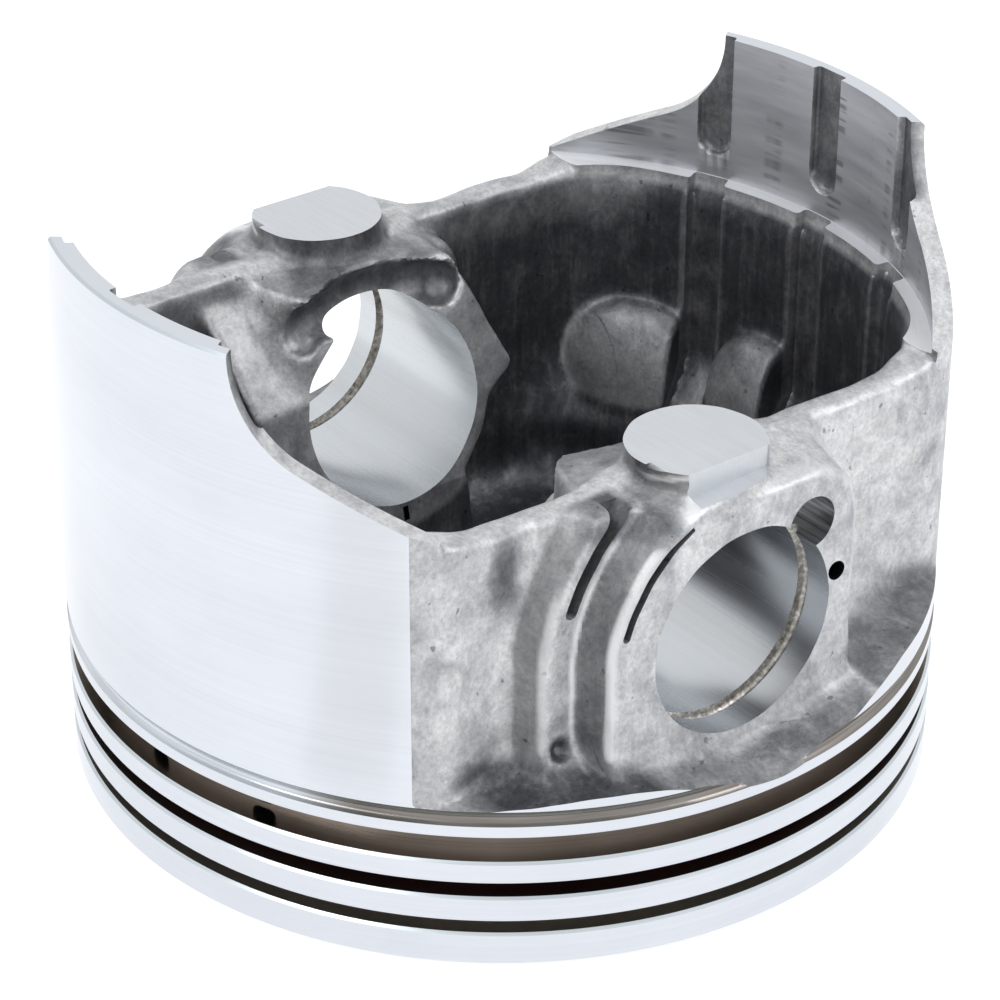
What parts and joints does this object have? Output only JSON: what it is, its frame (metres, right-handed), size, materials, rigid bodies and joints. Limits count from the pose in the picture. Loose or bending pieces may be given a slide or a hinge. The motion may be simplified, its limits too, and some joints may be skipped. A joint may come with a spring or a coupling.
{
  "type": "engine piston",
  "caption": "Bare four-stroke engine piston: crown, ring lands with grooves, skirt walls with long tails, pin bosses, balance pads.",
  "frame": {"origin": "centre of the crown's outer face, which is the lowest face as the piston stands", "axes": "+Z along the piston axis from the crown towards the skirt's open end, X along the pin bore, Y the thrust direction"},
  "size_m": [0.0983, 0.0982, 0.0676],
  "materials": {
    "machined": "fine turned, bright",
    "cast": "as cast, grey, mottled"
  },
  "bodies": {
    "root": {"top_land": "machined", "first_groove_floor": "machined", "second_land": "machined", "third_land": "machined", "oil_land": "machined", "belt_core": "machined", "thrust_skirt": "machined", "minor_skirt": "machined", "thrust_tail": "machined", "minor_tail": "machined", "boss_right": "cast", "boss_left": "cast", "pad_right": "machined", "pad_left": "machined", "wall_right_front": "cast", "wall_right_rear": "cast", "rib_right_front": "cast", "wall_left_front": "cast", "wall_left_rear": "cast", "rib_left_front": "cast"}
  },
  "joints": []
}
